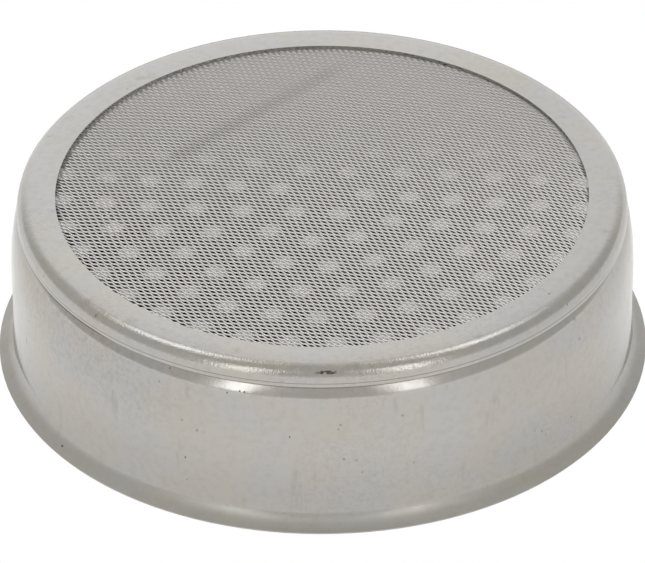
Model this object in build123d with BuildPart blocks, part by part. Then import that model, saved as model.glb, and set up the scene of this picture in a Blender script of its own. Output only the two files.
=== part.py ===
import os

from build123d import *

# Espresso shower screen: a drawn cup with a perforated face, a woven mesh disc on that face
# and a cap ring that is pressed over the neck and holds the mesh by its edge.
# Origin: centre of the mouth, on the plane that the rim stands on. +Z runs out of the mesh.

# body, drawn from one sheet
body_sheet = 0.5
body_radius = 28.6
flare_reach = 1.4
flare_height = 2.1
rim_edge = 0.2
rim_land = 0.1
lean_height = 9.7
lean_radius = 20.0
lean_angle = 10.7
shoulder_round = 2.0
shoulder_angle = 42.0
neck_height = 0.97
neck_round = 0.5

# perforations: each circle has six holes more than the one inside it
hole_radius = 1.0
hole_sides = 10
hole_margin = 2.0
holes_added_per_circle = 6
hole_circle_step = 3.98
hole_turn = -7.3

# mesh disc: one wall, with ridges that stand for bundles of wires side by side
mesh_thickness = 0.6
mesh_wall = 0.35
mesh_clearance = 0.1
mesh_turn = -40.4
ridge_step = 4.24
ridge_width = 2.2
gap_length = 2.4
gap_width = 0.7
gap_step = 7.0

# retaining ring
ring_sheet = 0.4
ring_fit = 0.05
ring_seam = 0.05
ring_cover = 3.55
ring_round = 1.2

# straight facets that make up each rounded bend of the sheets
wide_bend_facets = 3
tight_bend_facets = 2
hidden_bend_facets = 1

# the skirt leans in towards the top, then turns over a rounded shoulder to the neck
lean_outside = JernArc(
    start=(body_radius, lean_height),
    tangent=(0, 1),
    radius=lean_radius,
    arc_size=lean_angle,
    mode=Mode.PRIVATE,
)
lean_inside = JernArc(
    start=(body_radius - body_sheet, lean_height),
    tangent=(0, 1),
    radius=lean_radius - body_sheet,
    arc_size=lean_angle,
    mode=Mode.PRIVATE,
)
shoulder_bend = JernArc(
    start=lean_outside @ 1,
    tangent=lean_outside % 1,
    radius=shoulder_round,
    arc_size=shoulder_angle,
    mode=Mode.PRIVATE,
)

rim_radius = body_radius + flare_reach
neck_radius = (shoulder_bend @ 1).X
shoulder_height = (shoulder_bend @ 1).Y
face_height = shoulder_height + neck_height
hole_circles = int((neck_radius - body_sheet - hole_margin) / hole_circle_step)
ring_radius = neck_radius + ring_fit + ring_sheet
ring_opening_radius = ring_radius - ring_cover
ring_underside = face_height + mesh_thickness
ring_top = ring_underside + ring_sheet
ring_foot = shoulder_height + ring_seam
mesh_radius = ring_radius - ring_round - mesh_clearance

os.makedirs("parts", exist_ok=True)


def bend(arc, facets):
    """Points along a bend, from its start to its end."""
    return [arc @ (step / facets) for step in range(facets + 1)]


flare_outside = TangentArc(
    (body_radius, flare_height), (rim_radius, rim_edge), tangent=(0, -1), mode=Mode.PRIVATE
)
flare_inside = TangentArc(
    (body_radius - body_sheet, flare_height),
    (rim_radius - rim_land, 0),
    tangent=(0, -1),
    mode=Mode.PRIVATE,
)
neck_bend = JernArc(
    start=(neck_radius, face_height - neck_round),
    tangent=(0, 1),
    radius=neck_round,
    arc_size=90,
    mode=Mode.PRIVATE,
)

with BuildPart() as body:
    with BuildSketch(Plane.XZ) as body_wall:
        with BuildLine():
            Polyline(
                # outside of the sheet, from the rim up to the middle of the face
                *reversed(bend(flare_outside, wide_bend_facets)),
                *bend(lean_outside, tight_bend_facets),
                *bend(shoulder_bend, tight_bend_facets)[1:],
                *bend(neck_bend, hidden_bend_facets),
                (0, face_height),
                # and back down the inside of the sheet
                (0, face_height - body_sheet),
                (neck_radius - body_sheet, face_height - body_sheet),
                (neck_radius - body_sheet, shoulder_height - body_sheet / 2),
                *reversed(bend(lean_inside, hidden_bend_facets)),
                *bend(flare_inside, tight_bend_facets),
                close=True,
            )
        make_face()
    revolve(axis=Axis.Z)
    with BuildSketch(Plane.XY.offset(face_height)) as perforations:
        for circle in range(1, hole_circles + 1):
            with PolarLocations(
                circle * hole_circle_step, circle * holes_added_per_circle, start_angle=hole_turn
            ):
                RegularPolygon(hole_radius, hole_sides)
    extrude(amount=-2 * body_sheet, mode=Mode.SUBTRACT)
body.part.label = "body"

mesh_plane = Plane.XY.rotated((0, 0, mesh_turn))
ridge_count = int(2 * mesh_radius / ridge_step)
gap_reach = ring_opening_radius - gap_length / 2
gaps_each_way = int(gap_reach / gap_step)
gap_spots = [
    (along * gap_step, (valley + 0.5) * ridge_step)
    for valley in range(-ridge_count // 2, ridge_count // 2)
    for along in range(-gaps_each_way, gaps_each_way + 1)
    if Vector(along * gap_step, (valley + 0.5) * ridge_step).length < gap_reach
]

with BuildPart() as mesh_disc:
    with BuildSketch(mesh_plane.offset(face_height)) as mesh_outline:
        Circle(mesh_radius)
    extrude(amount=mesh_wall)
    # ridges across the disc, trimmed to its round edge
    with BuildSketch(mesh_plane.offset(face_height + mesh_wall)) as ridges:
        with GridLocations(0, ridge_step, 1, ridge_count):
            Rectangle(2 * mesh_radius, ridge_width)
        Circle(mesh_radius, mode=Mode.INTERSECT)
    extrude(amount=mesh_thickness - mesh_wall)
    # open gaps through the wall, in the valleys between the ridges
    with BuildSketch(mesh_plane.offset(face_height)) as gaps:
        with Locations(*gap_spots):
            Rectangle(gap_length, gap_width)
    extrude(amount=mesh_wall, mode=Mode.SUBTRACT)
mesh_disc.part.label = "mesh_disc"

ring_outside = JernArc(
    start=(ring_radius, ring_top - ring_round),
    tangent=(0, 1),
    radius=ring_round,
    arc_size=90,
    mode=Mode.PRIVATE,
)
ring_inside = JernArc(
    start=(ring_radius - ring_round, ring_underside),
    tangent=(1, 0),
    radius=ring_round - ring_sheet,
    arc_size=-90,
    mode=Mode.PRIVATE,
)

with BuildPart() as retaining_ring:
    with BuildSketch(Plane.XZ) as ring_wall:
        with BuildLine():
            Polyline(
                # outside, from the foot up over the bend to the opening
                (ring_radius, ring_foot),
                *bend(ring_outside, wide_bend_facets),
                (ring_opening_radius, ring_top),
                (ring_opening_radius, ring_underside),
                # and along the underside down the neck to the foot again
                *bend(ring_inside, hidden_bend_facets),
                (ring_radius - ring_sheet, ring_foot),
                close=True,
            )
        make_face()
    revolve(axis=Axis.Z)
retaining_ring.part.label = "retaining_ring"

export_step(body.part, "parts/body.step")
export_step(mesh_disc.part, "parts/mesh_disc.step")
export_step(retaining_ring.part, "parts/retaining_ring.step")
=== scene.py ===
import math

import bpy
from mathutils import Matrix, Vector


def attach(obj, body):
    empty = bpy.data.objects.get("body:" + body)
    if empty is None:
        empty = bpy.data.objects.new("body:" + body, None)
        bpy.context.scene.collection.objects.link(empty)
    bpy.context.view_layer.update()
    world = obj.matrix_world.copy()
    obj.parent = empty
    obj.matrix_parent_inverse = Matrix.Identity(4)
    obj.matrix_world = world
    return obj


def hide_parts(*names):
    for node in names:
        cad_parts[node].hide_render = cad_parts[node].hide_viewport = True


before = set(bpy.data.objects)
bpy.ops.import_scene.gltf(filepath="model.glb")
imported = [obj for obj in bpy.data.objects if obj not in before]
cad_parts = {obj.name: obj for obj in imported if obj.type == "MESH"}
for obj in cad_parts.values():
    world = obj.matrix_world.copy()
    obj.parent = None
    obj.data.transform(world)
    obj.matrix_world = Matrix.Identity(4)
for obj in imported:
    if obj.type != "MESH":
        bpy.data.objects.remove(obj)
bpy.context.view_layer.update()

mm = 0.001


def toLinear(hexColour):
    # an sRGB hex colour as the linear numbers that Blender works in
    channels = [int(hexColour[i:i + 2], 16) / 255 for i in (1, 3, 5)]
    return [c / 12.92 if c <= 0.04045 else ((c + 0.055) / 1.055) ** 2.4 for c in channels] + [1.0]


def addNode(tree, kind, sockets=None, **settings):
    # one node; each socket gets a number, a hex colour or another node's output
    node = tree.nodes.new(kind)
    for name, value in settings.items():
        setattr(node, name, value)
    for socket, value in (sockets or {}).items():
        if isinstance(value, bpy.types.NodeSocket):
            tree.links.new(value, node.inputs[socket])
        else:
            node.inputs[socket].default_value = toLinear(value) if isinstance(value, str) else value
    return node.outputs


def newMaterial(name):
    material = bpy.data.materials.new(name)
    material.use_nodes = True
    material.node_tree.nodes.clear()
    return material, material.node_tree


def addObject(name, data):
    thing = bpy.data.objects.new(name, data)
    bpy.context.scene.collection.objects.link(thing)
    return thing


camera = {
    "distance": 600 * mm,
    "elevation": 35.09,  # degrees above the table
    "roll": -0.322,
    "targetHeight": 6.52 * mm,
    "widthAtTarget": 59.546 * mm,  # the frame's width at the target, read off the 60 mm rim
    "sensor": 36.0,
    "nearest": 0.01,
    "farthest": 20,
}


def makeCamera():
    data = bpy.data.cameras.new("camera")
    data.sensor_fit = "HORIZONTAL"
    data.sensor_width = camera["sensor"]
    data.lens = camera["sensor"] * camera["distance"] / camera["widthAtTarget"]
    data.clip_start = camera["nearest"]
    data.clip_end = camera["farthest"]
    data.dof.use_dof = False
    holder = addObject("camera", data)
    up = math.radians(camera["elevation"])
    target = Vector((0, 0, camera["targetHeight"]))
    place = target + camera["distance"] * Vector((0, -math.cos(up), math.sin(up)))
    look = (target - place).to_track_quat("-Z", "Y").to_matrix().to_4x4()
    roll = Matrix.Rotation(math.radians(camera["roll"]), 4, "Z")
    holder.matrix_world = Matrix.Translation(place) @ look @ roll
    bpy.context.scene.camera = holder


makeCamera()
bpy.context.scene.view_settings.view_transform = "Standard"  # keeps the pale table pure white
print("camera placed")

# the cloth: wefts that sway round straight warps below them, so that slanting pits stay open
weave = {
    "radius": 26.5 * mm,
    "crest": 16.28 * mm,  # height of the cloth's top
    "ringUnderside": 16.19 * mm,  # its edge is pressed down under the ring
    "ringOpening": 24.4 * mm,
    "pressWidth": 0.4 * mm,
    "columnStep": 0.595 * mm,  # from one pit of the cloth to the next, up a column
    "columnTurn": 106.4,
    "rowStep": 0.590 * mm,  # and along a row
    "rowTurn": -6.9,
    "rowBow": -0.00525 / mm,  # the rows bow a little: turn in radians per metre
    "weftWire": 0.214 * mm,
    "weftRise": -0.004 * mm,  # how far a weft moves up and down
    "weftSway": 0.20,  # and sideways, in steps from one weft to the next
    "weftSkew": 0.05,  # how far its waves lean
    "weftShift": 0.5,
    "weftsEachWay": 170,
    "weftReach": 120,  # warps that a weft crosses to each side
    "stepsPerWarp": 4,
    "weftPieces": "ABCDE",
    "warpWire": 0.22 * mm,
    "warpDrop": 0.36 * mm,  # from the crest down to the middle of a warp
    "warpShift": 0.5,
    "warpsEachWay": 110,
    "warpReach": 70,
    "warpStep": 2.5,  # wefts from one point of a warp to the next
    "sides": 8,
}


def weavePoint(column, row):
    # where a pit (column, row) of the cloth lies; the rows are arcs, the columns straight
    turn = math.radians(weave["columnTurn"])
    start = math.radians(weave["rowTurn"])
    bow = weave["rowBow"]
    end = start + bow * row * weave["rowStep"]
    arcX = (math.sin(end) - math.sin(start)) / bow
    arcY = (math.cos(start) - math.cos(end)) / bow
    up = column * weave["columnStep"]
    return arcX + up * math.cos(turn), arcY + up * math.sin(turn)


def clamp(value):
    return min(max(value, 0), 1)


def wirePoint(weft, warp, depth):
    # a point of a wire whose middle lies that deep below the crest of the cloth
    x, y = weavePoint((weft - warp) / 2, (weft + warp) / 2)
    away = math.hypot(x, y)
    if away > weave["radius"]:
        return None
    pressed = clamp((away - weave["ringOpening"] + weave["pressWidth"]) / weave["pressWidth"])
    top = weave["crest"] + (weave["ringUnderside"] - weave["crest"]) * pressed
    return Vector((x, y, top - depth))


def sweepWire(points, thickness, vertices, faces):
    # a tube along the points
    sides = weave["sides"]
    base = len(vertices)
    last = len(points) - 1
    for k, point in enumerate(points):
        along = (points[min(k + 1, last)] - points[max(k - 1, 0)]).normalized()
        side = Vector((0, 0, 1)).cross(along).normalized()
        up = along.cross(side)
        for s in range(sides):
            angle = 2 * math.pi * s / sides
            vertices.append(point + thickness / 2 * (math.cos(angle) * side + math.sin(angle) * up))
    for k in range(last):
        for s in range(sides):
            a = base + k * sides + s
            b = base + k * sides + (s + 1) % sides
            faces.append((a, b, b + sides, a + sides))


def sweepRuns(points, thickness, vertices, faces):
    # the stretches of one wire that lie inside the disc
    run = []
    for point in points + [None]:
        if point is not None:
            run.append(point)
            continue
        if len(run) > 2:
            sweepWire(run, thickness, vertices, faces)
        run = []


# where light from the table comes up through the cup's holes and makes pale spots in the cloth
holes = {
    "circleStep": 3.98 * mm,
    "circles": 6,
    "addedPerCircle": 6,
    "turn": -7.3,
    "shift": 0.7 * mm,  # seen from the front, a spot lies a little behind its hole
    "spotRadius": 1.12 * mm,
    "spotCore": 0.82 * mm,
    "fadeFrom": 2 * mm,  # the spots fade towards the back
    "fadeTo": 15 * mm,
    "fadeShare": 0.7,
}


def litShare(x, y):
    # how far the light from below reaches a point of the cloth
    deep = y - holes["shift"]
    away = math.hypot(x, deep)
    circle = min(round(away / holes["circleStep"]), holes["circles"])
    if circle == 0:
        return 0.0
    step = 2 * math.pi / (holes["addedPerCircle"] * circle)
    angle = math.atan2(deep, x) - math.radians(holes["turn"])
    offset = angle - round(angle / step) * step
    radius = circle * holes["circleStep"]
    gap = math.sqrt(max(away * away + radius * radius - 2 * away * radius * math.cos(offset), 0))
    spot = clamp((holes["spotRadius"] - gap) / (holes["spotRadius"] - holes["spotCore"]))
    back = clamp((y - holes["fadeFrom"]) / (holes["fadeTo"] - holes["fadeFrom"]))
    return spot * (1 - holes["fadeShare"] * back)


def makeWires(name, vertices, faces, material):
    mesh = bpy.data.meshes.new(name)
    mesh.from_pydata([tuple(v) for v in vertices], [], faces)
    mesh.polygons.foreach_set("use_smooth", [True] * len(mesh.polygons))
    lit = mesh.attributes.new("lit", "FLOAT", "POINT")
    lit.data.foreach_set("value", [litShare(v.x, v.y) for v in vertices])
    mesh.materials.append(material)
    piece = addObject(name, mesh)
    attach(piece, "root")
    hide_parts("mesh_disc")
    print(name, 2 * len(faces), "triangles")


def makeWefts(material):
    steps = weave["stepsPerWarp"]
    pieces = weave["weftPieces"]
    for part, letter in enumerate(pieces):
        vertices, faces = [], []
        for weft in range(-weave["weftsEachWay"], weave["weftsEachWay"] + 1):
            if weft % len(pieces) != part:
                continue
            points = []
            for k in range(-weave["weftReach"] * steps, weave["weftReach"] * steps + 1):
                warp = k / steps
                phase = math.pi * (warp + weft)
                lift = math.cos(phase) - weave["weftSkew"] * math.sin(2 * phase)
                place = weft + weave["weftShift"] + weave["weftSway"] * lift
                depth = weave["weftWire"] / 2 + weave["weftRise"] * (1 - lift)
                points.append(wirePoint(place, warp, depth))
            sweepRuns(points, weave["weftWire"], vertices, faces)
        makeWires("weftWires" + letter, vertices, faces, material)


def makeWarps(material):
    vertices, faces = [], []
    reach = range(-weave["warpReach"], weave["warpReach"] + 1)
    for warp in range(-weave["warpsEachWay"], weave["warpsEachWay"] + 1):
        place = warp + weave["warpShift"]
        points = [wirePoint(weave["warpStep"] * k, place, weave["warpDrop"]) for k in reach]
        sweepRuns(points, weave["warpWire"], vertices, faces)
    makeWires("warpWires", vertices, faces, material)


def fade(tree, place, axis, start, full, share=1.0):
    # a mask that grows from 0 at start to its share at full, along one axis
    along = addNode(tree, "ShaderNodeSeparateXYZ", {0: place})[axis]
    ends = {0: along, 1: start, 2: full, 4: share}
    return addNode(tree, "ShaderNodeMapRange", ends, interpolation_type="SMOOTHSTEP")[0]


def band(tree, place, axis, centre, outer, inner):
    # a mask that is 1 within inner of the centre and 0 beyond outer, along one axis
    along = addNode(tree, "ShaderNodeSeparateXYZ", {0: place})[axis]
    offset = addNode(tree, "ShaderNodeMath", {0: along, 1: centre}, operation="SUBTRACT")[0]
    gap = addNode(tree, "ShaderNodeMath", {0: offset}, operation="ABSOLUTE")[0]
    ends = {0: gap, 1: outer, 2: inner}
    return addNode(tree, "ShaderNodeMapRange", ends, interpolation_type="SMOOTHSTEP")[0]


def patches(tree, place, size, detail, low, high, share=1.0, stretch=(1, 1, 1)):
    # a mask of soft patches of about that size, longer along an axis where stretch is small
    scaled = addNode(tree, "ShaderNodeMapping", {0: place, 3: stretch})[0]
    cloud = addNode(tree, "ShaderNodeTexNoise", {"Vector": scaled, "Scale": 1 / size, "Detail": detail})[0]
    ends = {0: cloud, 1: low, 2: high, 4: share}
    return addNode(tree, "ShaderNodeMapRange", ends, interpolation_type="SMOOTHSTEP")[0]


def overlap(tree, mask, *others):
    # where all the masks meet
    for other in others:
        mask = addNode(tree, "ShaderNodeMath", {0: mask, 1: other}, operation="MULTIPLY")[0]
    return mask


def layOver(tree, tone, layers):
    # colours laid over a tone, each through its mask
    for mask, colour in layers:
        tone = addNode(tree, "ShaderNodeMix", {0: mask, 6: tone, 7: colour}, data_type="RGBA")[2]
    return tone


# what the cup and the ring share
sheet = {
    "warm": "#b9b5ad",
    "cool": "#b7b5b2",
    "dull": "#a8a49c",
    "line": "#6f6a62",
    "stainAndShade": "#55514a",
    "paleRimTone": "#cfccc6",
    "tint": {"size": 7 * mm, "detail": 2.0, "low": 0.35, "high": 0.65},
    "mottle": {"size": 0.7 * mm, "detail": 6.0, "low": 0.40, "high": 0.75, "share": 0.3},
    # orange peel where the sheet was stretched, drawn coarser than the real one, so that it shows
    "peel": {"size": 0.32 * mm, "detail": 3.0, "low": 0.48, "high": 0.66, "share": 0.3},
    "peelArea": {"size": 9 * mm, "detail": 1.0, "low": 0.45, "high": 0.60},
    # upright hair marks left by the die
    "hairs": {
        "size": 1.4 * mm, "detail": 3.0, "low": 0.62, "high": 0.80, "share": 0.2, "stretch": (1, 1, 0.2),
    },
    "speckStep": 1.1 * mm,
    "speckEdge": 0.16,  # in steps
    "speckCore": 0.08,
    "speckShare": 0.5,
    "speckArea": {"size": 3 * mm, "detail": 0.0, "low": 0.66, "high": 0.70},
    # lighter towards the rim
    "paleRim": {"axis": "Z", "start": 1.9 * mm, "full": 0.5 * mm, "share": 0.3},
    "rimRoughness": {"axis": "Z", "start": 1.9 * mm, "full": 0.5 * mm, "share": 0.35},
    "rightShade": {"axis": "X", "start": 8 * mm, "full": 20 * mm, "share": 0.08},  # painted shade: darker at the right, where less light falls
    "grainSize": 0.16 * mm,  # drawn coarser than a real satin grain, so that it shows
    "grainHeight": 0.016 * mm,
    "grainShare": 0.25,
    "grainEdge": 1.5 * mm,
    "sheenSize": 2.5 * mm,
    "sheenDetail": 4.0,
    "sheenLow": 0.3,  # noise where a coat is glossiest, and where it is dullest
    "sheenHigh": 0.7,
    "smoothAngle": 40,
    "weldDistance": 0.001 * mm,
}


def drawnSteel(name, coat, addStainsAndShade):
    # stainless sheet, satin from drawing: broad soft highlights, faint tints and fine wear
    material, tree = newMaterial(name)
    place = addNode(tree, "ShaderNodeTexCoord")["Object"]

    tint = patches(tree, place, **sheet["tint"])
    mottle = patches(tree, place, **sheet["mottle"])
    peel = overlap(tree, patches(tree, place, **sheet["peel"]), patches(tree, place, **sheet["peelArea"]))
    hairs = patches(tree, place, **sheet["hairs"])
    cells = addNode(tree, "ShaderNodeTexVoronoi", {"Vector": place, "Scale": 1 / sheet["speckStep"]})[0]
    ends = {0: cells, 1: sheet["speckEdge"], 2: sheet["speckCore"], 4: sheet["speckShare"]}
    specks = addNode(tree, "ShaderNodeMapRange", ends, interpolation_type="SMOOTHSTEP")[0]
    specks = overlap(tree, specks, patches(tree, place, **sheet["speckArea"]))
    darker = addNode(tree, "ShaderNodeMath", {0: hairs, 1: specks}, operation="MAXIMUM")[0]
    tone = layOver(tree, sheet["warm"], [(tint, sheet["cool"]), (mottle, sheet["dull"])])
    tone = layOver(tree, tone, [(peel, sheet["dull"]), (darker, sheet["line"])])
    # painted shade: dark lines in creases and seams
    tone = layOver(tree, tone, [(band(tree, place, **line), colour) for colour, line in coat["shadeLines"]])
    tone = layOver(tree, tone, [(fade(tree, place, **sheet["paleRim"]), sheet["paleRimTone"])])
    # real stains and marks, together with painted shade at the foot, the right side and the seam
    tone = layOver(tree, tone, [(stainAndShade, sheet["stainAndShade"]) for stainAndShade in addStainsAndShade(tree, place)])

    # the grain is deeper outside grainFrom, measured from the part's axis
    flat = addNode(tree, "ShaderNodeVectorMath", {0: place, 1: (1, 1, 0)}, operation="MULTIPLY")[0]
    away = addNode(tree, "ShaderNodeVectorMath", {0: flat}, operation="LENGTH")["Value"]
    ends = {
        0: away,
        1: coat["grainFrom"] - sheet["grainEdge"],
        2: coat["grainFrom"],
        3: sheet["grainShare"],
        4: 1 + sheet["grainShare"],
    }
    depth = addNode(tree, "ShaderNodeMapRange", ends, interpolation_type="SMOOTHSTEP")[0]
    grain = addNode(tree, "ShaderNodeTexNoise", {"Vector": place, "Scale": 1 / sheet["grainSize"]})[0]
    height = overlap(tree, grain, depth)
    bump = addNode(tree, "ShaderNodeBump", {"Distance": sheet["grainHeight"], "Height": height})[0]

    noise = {"Vector": place, "Scale": 1 / sheet["sheenSize"], "Detail": sheet["sheenDetail"]}
    cloud = addNode(tree, "ShaderNodeTexNoise", noise)[0]
    ends = {0: cloud, 1: sheet["sheenLow"], 2: sheet["sheenHigh"], 3: coat["glossiest"], 4: coat["dullest"]}
    sheen = addNode(tree, "ShaderNodeMapRange", ends)[0]
    rim = fade(tree, place, **sheet["rimRoughness"])
    rough = addNode(tree, "ShaderNodeMath", {0: sheen, 1: rim}, operation="ADD")[0]
    finish = {"Metallic": 1.0, "Base Color": tone, "Roughness": rough, "Normal": bump}
    shader = addNode(tree, "ShaderNodeBsdfPrincipled", finish)[0]
    addNode(tree, "ShaderNodeOutputMaterial", {0: shader})
    return material


cup = {
    "glossiest": 0.14,
    "dullest": 0.24,
    "grainFrom": 40 * mm,  # past the rim: shallow grain all over
    "shadeLines": [],
    "foot": {"axis": "Z", "start": 9 * mm, "full": 2 * mm, "share": 0.15},  # painted shade: darker towards the rim, for the shaded table that the foot reflects
    # a finely speckled patch below the ring at the left
    "patchSide": {"axis": "X", "start": -8 * mm, "full": -18 * mm},
    "patchFront": {"axis": "Y", "start": -4 * mm, "full": -12 * mm},
    "patchHeight": {"axis": "Z", "start": 5.5 * mm, "full": 10.5 * mm},
    "patchDots": {"size": 0.45 * mm, "detail": 3.0, "low": 0.45, "high": 0.62, "share": 0.08},
    "patchShare": 0.04,
    "skirtRadius": 28.6 * mm,
    "markEdge": 1.2,  # how softly a single mark ends, in parts of its half size
    "markCore": 0.5,
}

# single dark marks on the cup: angle round it, height, half its width and half its height
marks = {
    "rimPit": (-143.9, 0.6 * mm, 0.13 * mm, 0.07 * mm),
    "leftHair": (-160.7, 6.8 * mm, 0.06 * mm, 0.42 * mm),
    "shoulderPitLeft": (-107.5, 13.5 * mm, 0.08 * mm, 0.08 * mm),
    "shoulderPitMiddle": (-105.2, 13.8 * mm, 0.10 * mm, 0.09 * mm),
    "shoulderPitRight": (-104.3, 13.8 * mm, 0.11 * mm, 0.10 * mm),
    "frontPit": (-96.0, 9.7 * mm, 0.06 * mm, 0.14 * mm),
    "lowPit": (-115.5, 5.6 * mm, 0.08 * mm, 0.12 * mm),
}


def singleMark(tree, place, angle, height, halfWidth, halfHeight):
    # a mask for one mark, by the distance from it on the unrolled skirt, in its half sizes
    x, y, z = addNode(tree, "ShaderNodeSeparateXYZ", {0: place})
    turn = addNode(tree, "ShaderNodeMath", {0: y, 1: x}, operation="ARCTAN2")[0]
    offset = addNode(tree, "ShaderNodeCombineXYZ", {0: turn, 1: z})[0]
    fromMark = {0: offset, 1: (math.radians(angle), height, 0)}
    offset = addNode(tree, "ShaderNodeVectorMath", fromMark, operation="SUBTRACT")[0]
    sizes = {0: offset, 1: (cup["skirtRadius"] / halfWidth, 1 / halfHeight, 0)}
    offset = addNode(tree, "ShaderNodeVectorMath", sizes, operation="MULTIPLY")[0]
    gap = addNode(tree, "ShaderNodeVectorMath", {0: offset}, operation="LENGTH")["Value"]
    ends = {0: gap, 1: cup["markEdge"], 2: cup["markCore"]}
    return addNode(tree, "ShaderNodeMapRange", ends, interpolation_type="SMOOTHSTEP")[0]


def cupStainsAndShade(tree, place):
    dots = patches(tree, place, **cup["patchDots"])
    speckled = addNode(tree, "ShaderNodeMath", {0: dots, 1: cup["patchShare"]}, operation="ADD")[0]
    area = [fade(tree, place, **cup[side]) for side in ("patchSide", "patchFront", "patchHeight")]
    marksAndShade = [fade(tree, place, **cup["foot"]), fade(tree, place, **sheet["rightShade"])]
    marksAndShade.append(overlap(tree, speckled, *area))
    return marksAndShade + [singleMark(tree, place, *mark) for mark in marks.values()]


ring = {
    "glossiest": 0.16,
    "dullest": 0.24,
    "grainFrom": 25.9 * mm,
    # painted shade: thin dark lines in the crease and in the seam round the ring's wall
    "shadeLines": [
        ("#918d85", {"axis": "Z", "centre": 15.1 * mm, "outer": 0.05 * mm, "inner": 0.025 * mm}),
        ("#8b877f", {"axis": "Z", "centre": 14.7 * mm, "outer": 0.05 * mm, "inner": 0.025 * mm}),
    ],
    # a short scuff on the corner in front
    "scuffWidth": {"axis": "X", "centre": 0.25 * mm, "outer": 1.1 * mm, "inner": 0.6 * mm},
    "scuffHeight": {"axis": "Z", "centre": 16.15 * mm, "outer": 0.16 * mm, "inner": 0.06 * mm},
    "scuffFront": {"axis": "Y", "start": -20 * mm, "full": -25 * mm},
    "scuffHairs": {"size": 0.16 * mm, "detail": 3.0, "low": 0.42, "high": 0.55, "stretch": (0.45, 1, 1)},
    # painted shade in the seam at the left
    "seam": {"axis": "Z", "centre": 14.72 * mm, "outer": 0.12 * mm, "inner": 0.06 * mm},
    "seamLeft": {"axis": "X", "start": -18 * mm, "full": -21 * mm},
}


def ringStainsAndShade(tree, place):
    across = band(tree, place, **ring["scuffWidth"])
    upright = band(tree, place, **ring["scuffHeight"])
    front = fade(tree, place, **ring["scuffFront"])
    scuff = overlap(tree, across, upright, front, patches(tree, place, **ring["scuffHairs"]))
    seamShade = overlap(tree, band(tree, place, **ring["seam"]), fade(tree, place, **ring["seamLeft"]))
    return [scuff, seamShade, fade(tree, place, **sheet["rightShade"])]


def smoothBends(thing):
    # shades the facets of a bend as one round surface and keeps the real edges sharp
    tree = bpy.data.node_groups.new("smoothBends", "GeometryNodeTree")
    tree.interface.new_socket("Geometry", in_out="INPUT", socket_type="NodeSocketGeometry")
    tree.interface.new_socket("Geometry", in_out="OUTPUT", socket_type="NodeSocketGeometry")
    mesh = addNode(tree, "NodeGroupInput")[0]
    weld = {"Geometry": mesh, "Distance": sheet["weldDistance"]}
    mesh = addNode(tree, "GeometryNodeMergeByDistance", weld)[0]
    angle = addNode(tree, "GeometryNodeInputMeshEdgeAngle")[0]
    limit = {0: angle, 1: math.radians(sheet["smoothAngle"])}
    soft = addNode(tree, "ShaderNodeMath", limit, operation="LESS_THAN")[0]
    for domain, smooth in (("FACE", True), ("EDGE", soft)):
        shade = {"Geometry": mesh, "Shade Smooth": smooth}
        mesh = addNode(tree, "GeometryNodeSetShadeSmooth", shade, domain=domain)[0]
    addNode(tree, "NodeGroupOutput", {0: mesh})
    thing.modifiers.new("smoothBends", "NODES").node_group = tree


coats = {
    "body": drawnSteel("deepDrawnStainless", cup, cupStainsAndShade),
    "retaining_ring": drawnSteel("stampedStainless", ring, ringStainsAndShade),
}
for node, coat in coats.items():
    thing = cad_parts[node]
    thing.data.materials.clear()
    thing.data.materials.append(coat)
    smoothBends(thing)
print("cup and ring coated")

wire = {
    "bright": "#d6d3d0",
    "brightBack": "#bebab8",
    # painted shade: near black for the pits between the wires
    "deep": "#0e0c0a",
    "litDeep": "#b2b1b1",
    # painted light: the glow of the pits over the table's holes
    "glow": "#fffefc",
    "glowShare": 0.33,
    "streakTone": "#99958f",
    "streakShare": 0.3,
    "deepFrom": 0.15 * mm,  # depths below the crest
    "deepTo": 0.04 * mm,
    "glowFrom": 0.03 * mm,
    "glowTo": 0.28 * mm,
    # painted light and shade towards the back: the pits filled, the crests darker
    "back": {"axis": "Y", "start": -8 * mm, "full": 25 * mm},
    # a soft darker streak across the upper left of the cloth
    "streakMiddle": (-6.2 * mm, 13.5 * mm, 0),
    "streakTurn": 44.8,
    "streakLength": {"axis": "X", "centre": 0, "outer": 13 * mm, "inner": 9 * mm},
    "streakWidth": {"axis": "Y", "centre": 0, "outer": 1.4 * mm, "inner": 0.1 * mm},
    "sheenSize": 1.2 * mm,
    "sheenDetail": 3.0,
    "sheenLow": 0.3,  # noise where the wire is glossiest, and where it is dullest
    "sheenHigh": 0.7,
    "glossiest": 0.16,
    "dullest": 0.30,
}


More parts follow.
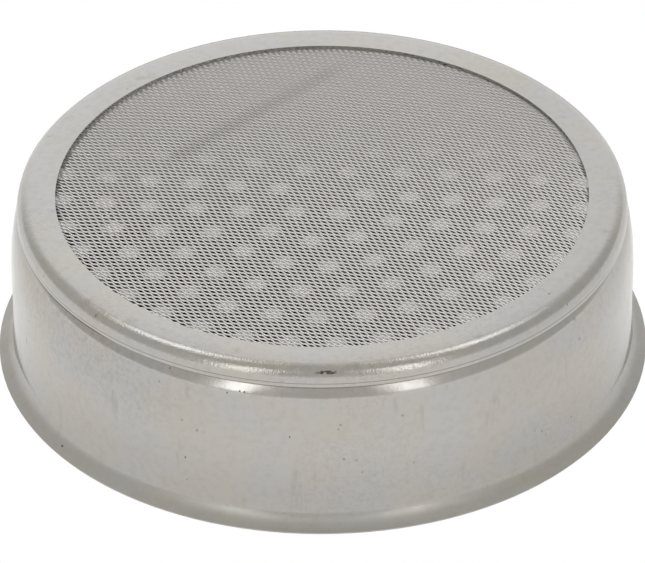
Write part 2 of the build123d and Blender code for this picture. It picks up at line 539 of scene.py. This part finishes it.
def wovenSteel():
    # stainless wire, woven: bright backs of the wires over dark pits of painted shade, so that the cloth
    # sparkles
    material, tree = newMaterial("wovenStainlessWire")
    place = addNode(tree, "ShaderNodeTexCoord")["Object"]
    top = weave["crest"]
    # painted shade: the wire darkens with its depth below the crest
    high = fade(tree, place, "Z", top - wire["deepFrom"], top - wire["deepTo"])
    # painted light and shade: the pits pale towards the back and where the table's light comes up through
    # the holes; the crests darken towards the back
    back = fade(tree, place, **wire["back"])
    spot = addNode(tree, "ShaderNodeAttribute", attribute_name="lit")[2]
    lit = addNode(tree, "ShaderNodeMath", {0: spot, 1: back}, operation="MAXIMUM")[0]
    pit = layOver(tree, wire["deep"], [(lit, wire["litDeep"])])
    crest = layOver(tree, wire["bright"], [(back, wire["brightBack"])])
    tone = layOver(tree, pit, [(high, crest)])
    turned = {0: place, 1: wire["streakMiddle"], 2: (0, 0, math.radians(wire["streakTurn"]))}
    streakPlace = addNode(tree, "ShaderNodeMapping", turned, vector_type="TEXTURE")[0]
    sides = [band(tree, streakPlace, **wire[side]) for side in ("streakLength", "streakWidth")]
    streak = overlap(tree, wire["streakShare"], *sides)
    tone = layOver(tree, tone, [(streak, wire["streakTone"])])
    # painted light: the pits glow where the table's light comes up through the holes
    sunk = fade(tree, place, "Z", top - wire["glowFrom"], top - wire["glowTo"], wire["glowShare"])
    glow = overlap(tree, sunk, lit)
    noise = {"Vector": place, "Scale": 1 / wire["sheenSize"], "Detail": wire["sheenDetail"]}
    cloud = addNode(tree, "ShaderNodeTexNoise", noise)[0]
    ends = {0: cloud, 1: wire["sheenLow"], 2: wire["sheenHigh"], 3: wire["glossiest"], 4: wire["dullest"]}
    sheen = addNode(tree, "ShaderNodeMapRange", ends)[0]
    finish = {"Metallic": 1.0, "Base Color": tone, "Roughness": sheen}
    finish.update({"Emission Color": wire["glow"], "Emission Strength": glow})
    shader = addNode(tree, "ShaderNodeBsdfPrincipled", finish)[0]
    addNode(tree, "ShaderNodeOutputMaterial", {0: shader})
    return material


wireSteel = wovenSteel()
makeWefts(wireSteel)
makeWarps(wireSteel)
print("cloth woven")

table = {
    "size": 3.0,
    "glow": "#ffffff",
    "mouth": 28.5 * mm,  # no light from the table inside the cup
}


def makeFloor():
    half = table["size"] / 2
    corners = [(-half, -half, 0), (half, -half, 0), (half, half, 0), (-half, half, 0)]
    mesh = bpy.data.meshes.new("floor")
    mesh.from_pydata(corners, [], [(0, 1, 2, 3)])
    floor = addObject("floor", mesh)
    # opal sheet lit from below: an even white that shows no shadow
    material, tree = newMaterial("lightTable")
    place = addNode(tree, "ShaderNodeTexCoord")["Object"]
    away = addNode(tree, "ShaderNodeVectorMath", {0: place}, operation="LENGTH")["Value"]
    outside = addNode(tree, "ShaderNodeMath", {0: away, 1: table["mouth"]}, operation="GREATER_THAN")[0]
    glow = addNode(tree, "ShaderNodeEmission", {"Color": table["glow"], "Strength": outside})[0]
    addNode(tree, "ShaderNodeOutputMaterial", {0: glow})
    mesh.materials.append(material)


makeFloor()

studio = {
    "room": "#eff0f2",  # bright behind the part, grey cards in front and at the sides
    "card": "#bdbcb9",
    "glow": 1.3,
    "cardFoot": {"axis": "Z", "start": 0.07, "full": 0.10},  # heights are parts of the way up to overhead
    "sideLoss": -0.6,  # the bright part narrows towards the sides
    "cardFrom": 0.70,  # the card starts and is full at these parts of the way towards the back
    "cardFull": 0.25,
    "panelDistance": 1.5,
    "panelTint": "#f5f9ff",
}

# soft lights, at both sides: the two directions that one runs between, its width and how bright it looks
panels = {
    "softbox": ((0.50, -0.843, 0.17), (0.36, -0.62, 0.76), 0.26, 1.9),
    "strip": ((0.25, 0.17, 0.95), (0.43, 0.31, 0.85), 0.6, 1.7),
}


def makeWorld():
    world = bpy.data.worlds.new("studio")
    bpy.context.scene.world = world
    world.use_nodes = True
    tree = world.node_tree
    tree.nodes.clear()
    place = addNode(tree, "ShaderNodeTexCoord")["Generated"]
    x, y, z = addNode(tree, "ShaderNodeSeparateXYZ", {0: place})
    sideways = addNode(tree, "ShaderNodeMath", {0: x}, operation="ABSOLUTE")[0]
    reach = {0: sideways, 1: studio["sideLoss"], 2: y}
    reach = addNode(tree, "ShaderNodeMath", reach, operation="MULTIPLY_ADD")[0]
    ends = {0: reach, 1: studio["cardFrom"], 2: studio["cardFull"]}
    front = addNode(tree, "ShaderNodeMapRange", ends, interpolation_type="SMOOTHSTEP")[0]
    card = overlap(tree, fade(tree, place, **studio["cardFoot"]), front)
    tone = layOver(tree, studio["room"], [(card, studio["card"])])
    back = addNode(tree, "ShaderNodeBackground", {"Color": tone, "Strength": studio["glow"]})[0]
    addNode(tree, "ShaderNodeOutputWorld", {0: back})


def makePanel(name, first, last, width, glow):
    # a soft light that spans two directions as seen from the part
    first, last = (studio["panelDistance"] * Vector(end).normalized() for end in (first, last))
    middle = (first + last) / 2
    length = (last - first).length
    data = bpy.data.lights.new(name, "AREA")
    data.color = toLinear(studio["panelTint"])[:3]
    data.shape = "RECTANGLE"
    data.size = width
    data.size_y = length
    data.energy = glow * math.pi * width * length
    facing = middle.normalized()
    along = (last - first).normalized()
    along = (along - along.dot(facing) * facing).normalized()
    turn = Matrix((along.cross(facing), along, facing)).transposed().to_4x4()
    addObject(name, data).matrix_world = Matrix.Translation(middle) @ turn


makeWorld()
for side in (-1, 1):
    mirror = Matrix.Scale(side, 3, (1, 0, 0))
    for name, (first, last, width, glow) in panels.items():
        makePanel(name, mirror @ Vector(first), mirror @ Vector(last), width, glow)
print("studio lit")
